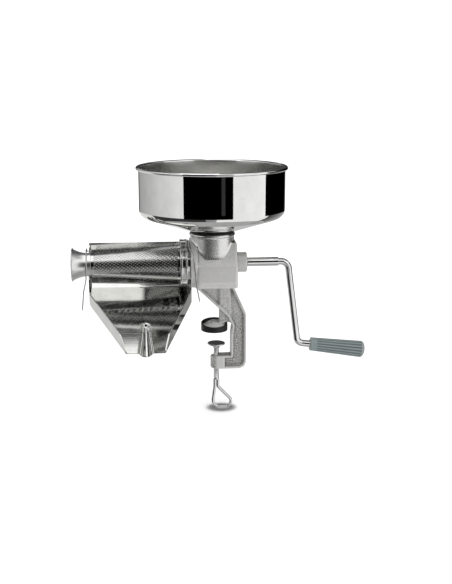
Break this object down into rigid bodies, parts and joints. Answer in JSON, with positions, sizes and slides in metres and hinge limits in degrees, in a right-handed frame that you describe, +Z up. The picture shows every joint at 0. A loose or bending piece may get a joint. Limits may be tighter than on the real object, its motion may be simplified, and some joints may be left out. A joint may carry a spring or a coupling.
{
  "type": "hand-cranked tomato strainer",
  "caption": "Hand-cranked tomato strainer with hopper, tapered filter screen and auger, juice tray with pouring channel, crank with grip, and a screw clamp for a table edge.",
  "frame": {"origin": "on the clamp screw's axis, in the plane of the upper jaw pad's lower face, where the table top comes", "axes": "+X along the crank shaft towards the crank, +Z up, the juice tray opens towards -Y"},
  "size_m": [0.4328, 0.2203, 0.3658],
  "materials": {
    "cast_alloy": "as-cast satin, fine sand texture",
    "polished_alloy": "turned and polished",
    "mirror_steel": "mirror polished outside, satin inside",
    "tray_steel": "bright rolled sheet",
    "screen_steel": "bright perforated sheet",
    "bare_steel": "bright drawn",
    "plated_steel": "bright plated",
    "bronze": "machined",
    "white_plastic": "moulded, food grade",
    "grey_plastic": "moulded, ribbed",
    "black_rubber": "moulded"
  },
  "bodies": {
    "frame": {"body_casting": "cast_alloy", "thrust_washer": "white_plastic", "shaft_seal": "black_rubber", "rear_bush": "bronze", "jaw_pad": "black_rubber", "neck_gasket": "black_rubber"},
    "crank": {"auger": "white_plastic", "auger_spindle": "plated_steel", "drive_pin": "bare_steel", "crank_sleeve": "plated_steel", "crank_rod": "plated_steel", "grip_washer": "bare_steel"},
    "grip": {"grip": "grey_plastic", "grip_cap": "grey_plastic"},
    "clamp_disc": {"clamp_disc": "plated_steel"},
    "clamp_screw": {"clamp_screw": "plated_steel"},
    "hopper": {"hopper_bowl": "mirror_steel"},
    "filter": {"filter_cone": "screen_steel", "filter_collar": "polished_alloy", "skin_outlet": "polished_alloy", "juice_tray": "tray_steel"},
    "nozzle_clip": {"nozzle_clip": "bare_steel"},
    "collar_clip": {"collar_clip": "bare_steel"}
  },
  "joints": [
    {"name": "crank_spin", "type": "hinge", "parent": "frame", "child": "crank", "pos_m": [0.05, 0, 0.102], "axis": [1, 0, 0], "continuous": true},
    {"name": "grip_spin", "type": "hinge", "parent": "crank", "child": "grip", "pos_m": [0.12195, 0, -0.02292], "axis": [0.9914, 0, -0.1305], "continuous": true},
    {"name": "clamp_travel", "type": "slide", "parent": "frame", "child": "clamp_disc", "axis": [0, 0, 1], "range_m": [-0.01, 0.018]},
    {"name": "screw_turn", "type": "hinge", "parent": "clamp_disc", "child": "clamp_screw", "pos_m": [0, 0, -0.05], "axis": [0, 0, 1], "range_deg": [-2890, 5195]},
    {"name": "hopper_lift", "type": "slide", "parent": "frame", "child": "hopper", "axis": [0, 0, 1], "range_m": [0, 0.12]},
    {"name": "filter_pull", "type": "slide", "parent": "frame", "child": "filter", "axis": [-1, 0, 0], "range_m": [0, 0.2]},
    {"name": "nozzle_clip_swing", "type": "hinge", "parent": "filter", "child": "nozzle_clip", "pos_m": [-0.1865, 0.02739, 0.11656], "axis": [-1, 0, 0], "range_deg": [0, 110]},
    {"name": "collar_clip_swing", "type": "hinge", "parent": "filter", "child": "collar_clip", "pos_m": [-0.0365, 0.03511, 0.11989], "axis": [-1, 0, 0], "range_deg": [0, 18]}
  ],
  "couplings": [
    {"joint": "screw_turn", "follows": "clamp_travel", "rad_per_m": 5026.5}
  ]
}
